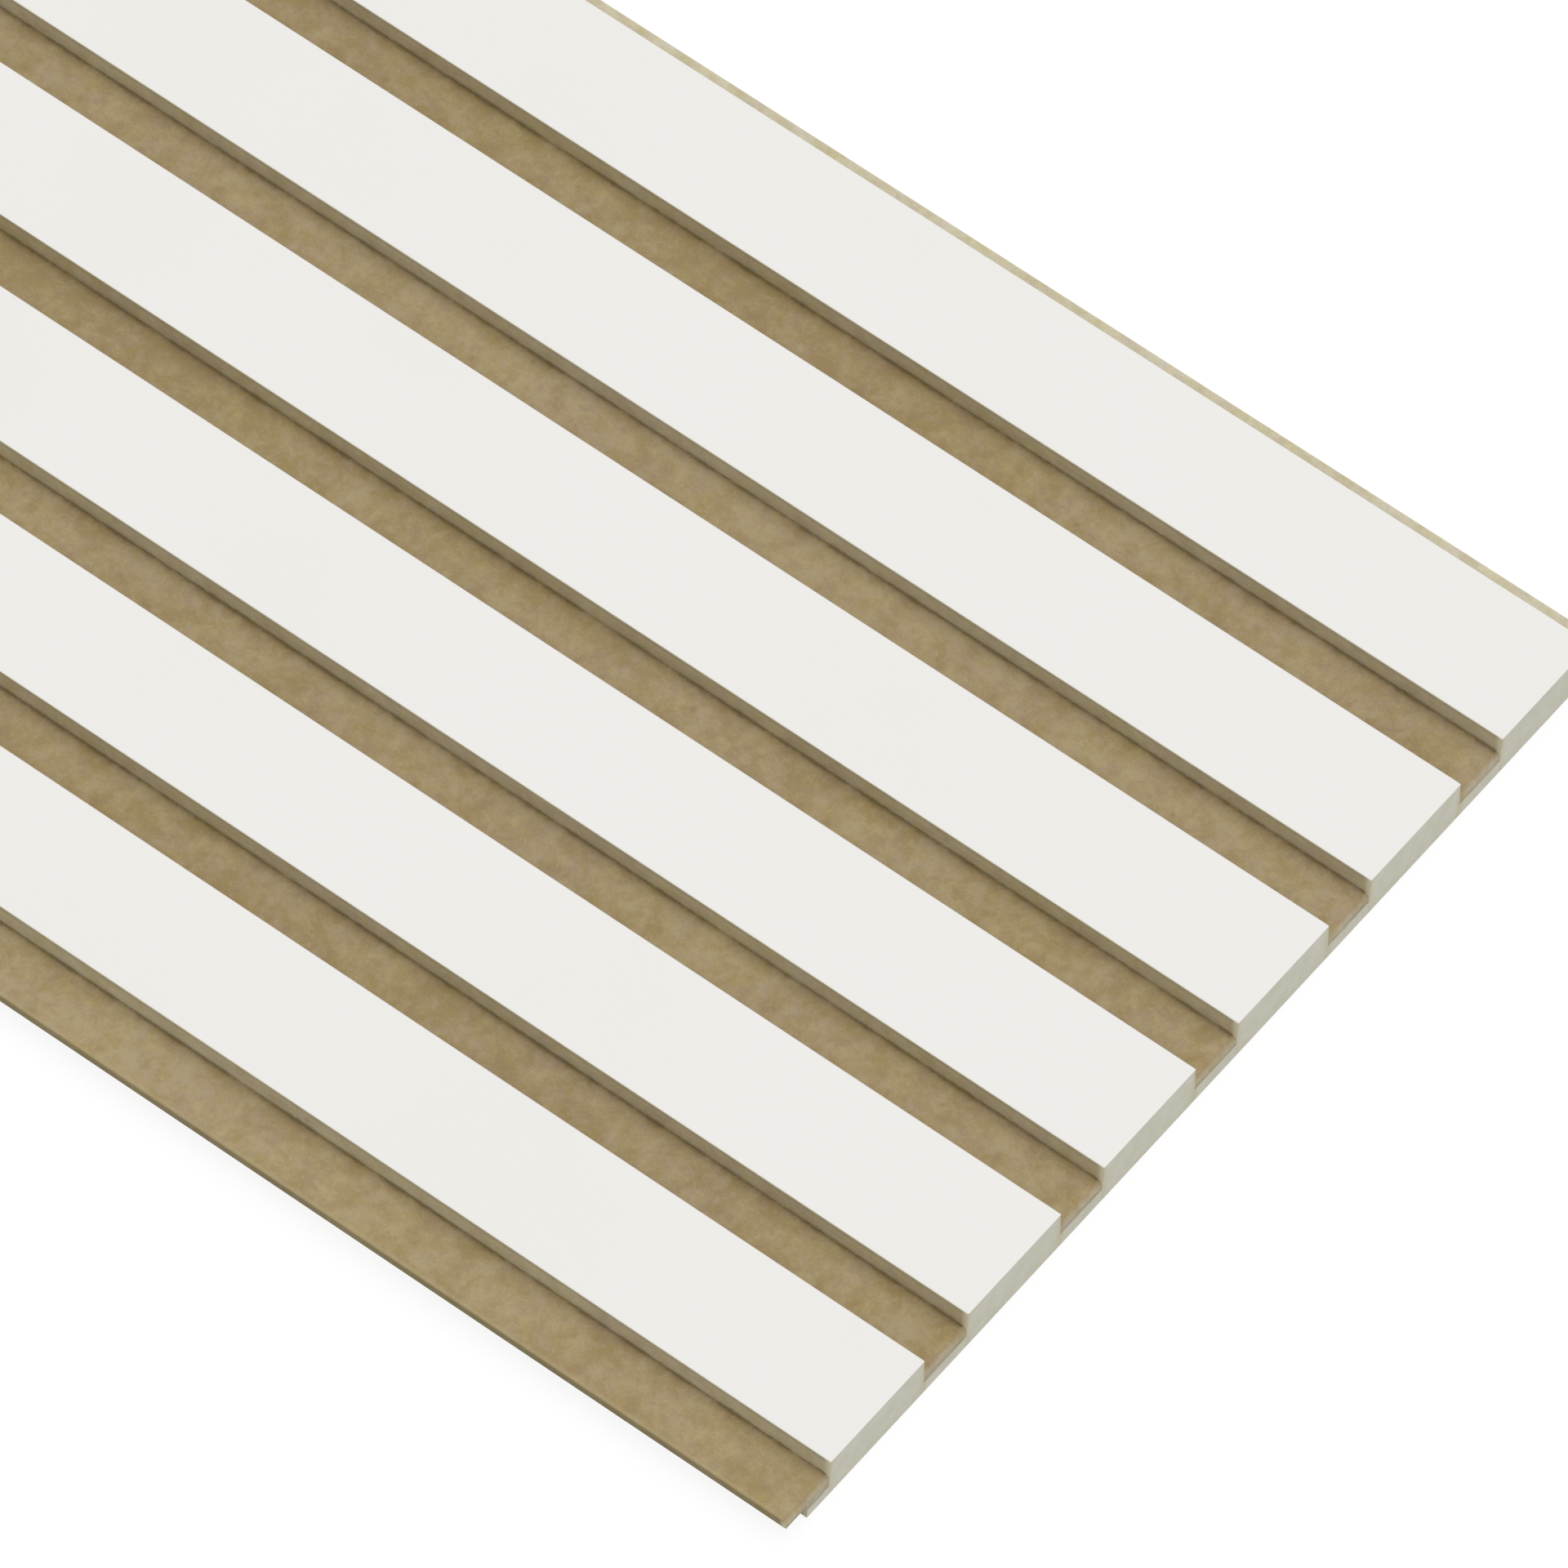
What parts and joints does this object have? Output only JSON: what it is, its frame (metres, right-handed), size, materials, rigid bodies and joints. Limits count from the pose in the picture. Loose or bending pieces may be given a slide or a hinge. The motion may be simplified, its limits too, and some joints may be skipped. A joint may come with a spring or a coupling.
{
  "type": "slatted acoustic wall panel",
  "caption": "Flat wall panel milled from one board: raised white slats, raw grooves between them, a thin lip on one long edge and a low tongue on the other for lapping panels.",
  "frame": {"origin": "centre of the panel's bounding box, on the back face", "axes": "+X along the slats, +Y across them from the lip towards the tongue, +Z from the back face to the slats"},
  "size_m": [2.4, 0.246, 0.0105],
  "materials": {
    "lacquered_mdf": "satin white on the slat faces, raw fibreboard in the grooves and on the edges"
  },
  "bodies": {
    "root": {"slat_board": "lacquered_mdf"}
  },
  "joints": []
}
